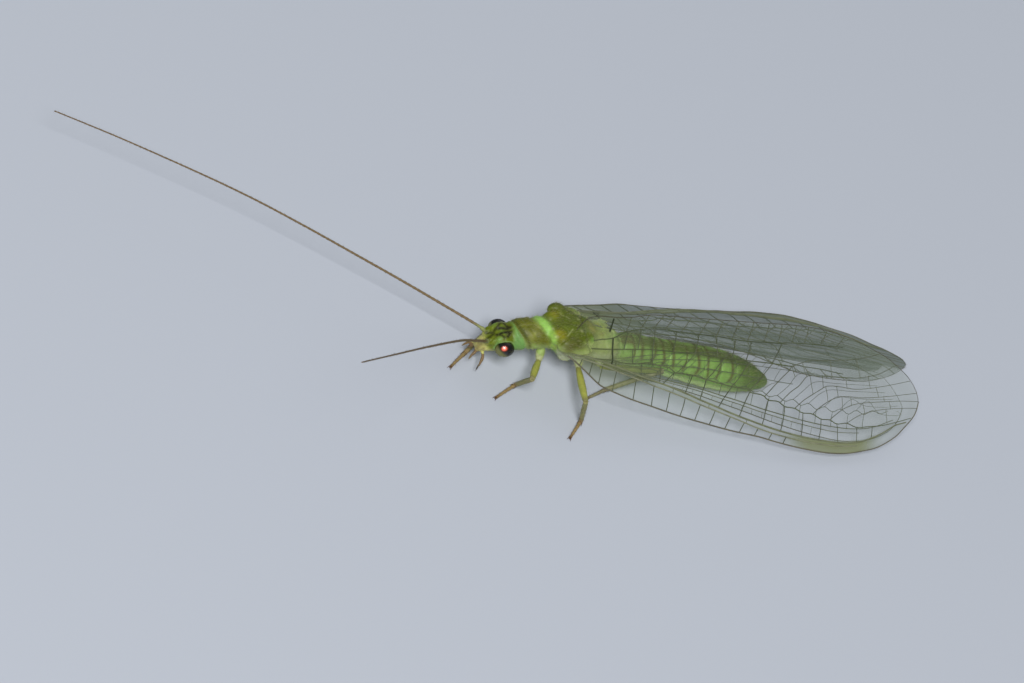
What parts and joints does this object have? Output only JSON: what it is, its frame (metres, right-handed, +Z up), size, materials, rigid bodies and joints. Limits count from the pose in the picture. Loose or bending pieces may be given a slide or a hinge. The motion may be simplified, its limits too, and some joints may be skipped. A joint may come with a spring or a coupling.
{
  "type": "green lacewing",
  "caption": "Life-size green lacewing resting on its feet, wings folded like a roof over a slim banded body, long feelers spread forwards.",
  "frame": {"origin": "on the floor, at the middle of the outline seen from above", "axes": "+X towards the head, +Y to the insect's left, +Z up"},
  "size_m": [0.0332, 0.018, 0.0104],
  "materials": {
    "head_green": "satin cuticle with dark brown marks",
    "thorax_olive": "satin cuticle, olive and yellow-green",
    "abdomen_green": "soft satin cuticle with red-brown bars",
    "eye": "glossy, dark red-brown with a metallic glow",
    "feeler": "matt, brown, finely ringed",
    "leg": "satin, green thighs and brown feet",
    "wing": "clear thin membrane with green-brown veins"
  },
  "bodies": {
    "root": {"head": "head_green", "eye_left": "eye", "eye_right": "eye", "feeler_left": "feeler", "feeler_right": "feeler", "prothorax": "thorax_olive", "mesothorax": "thorax_olive", "metathorax": "thorax_olive", "abdomen": "abdomen_green", "forewing_left": "wing", "forewing_right": "wing", "hindwing_left": "wing", "hindwing_right": "wing", "leg_fore_left": "leg", "leg_fore_right": "leg", "leg_mid_left": "leg", "leg_mid_right": "leg", "leg_hind_left": "leg", "leg_hind_right": "leg"}
  },
  "joints": []
}
